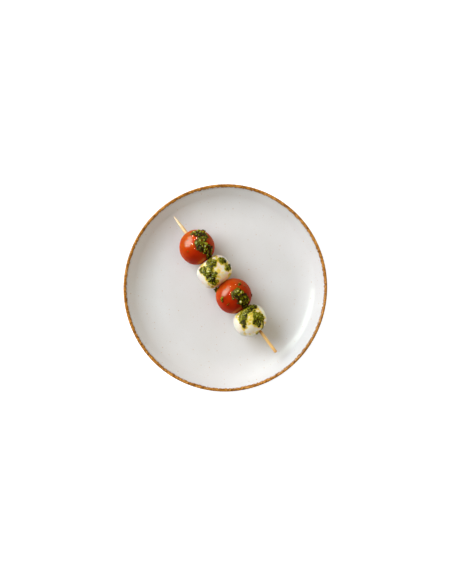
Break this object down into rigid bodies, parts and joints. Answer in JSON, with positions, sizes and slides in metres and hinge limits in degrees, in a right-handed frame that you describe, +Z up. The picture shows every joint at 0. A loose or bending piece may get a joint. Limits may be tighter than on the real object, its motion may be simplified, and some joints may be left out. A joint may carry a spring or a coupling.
{
  "type": "plate with a caprese skewer",
  "caption": "Round coupe plate with a caprese skewer lying across it: cherry tomatoes and mozzarella balls dabbed with basil pesto on a bamboo stick.",
  "frame": {"origin": "centre of the plate's foot, on the surface that it stands on", "axes": "+Z up, away from the table; +Y towards the top of the picture, seen from above; +X to its right"},
  "size_m": [0.1806, 0.1838, 0.0387],
  "materials": {
    "stoneware": "warm white satin glaze with fine brown speckles and a bare brown rim",
    "bamboo": "bare split bamboo, lightly oiled",
    "tomato": "glossy ripe tomato skin, oiled",
    "mozzarella": "moist fresh cheese, stained with olive oil"
  },
  "bodies": {
    "root": {"plate": "stoneware", "bamboo_stick": "bamboo", "cherry_tomato_1": "tomato", "mozzarella_ball_1": "mozzarella", "cherry_tomato_2": "tomato", "mozzarella_ball_2": "mozzarella"}
  },
  "joints": []
}
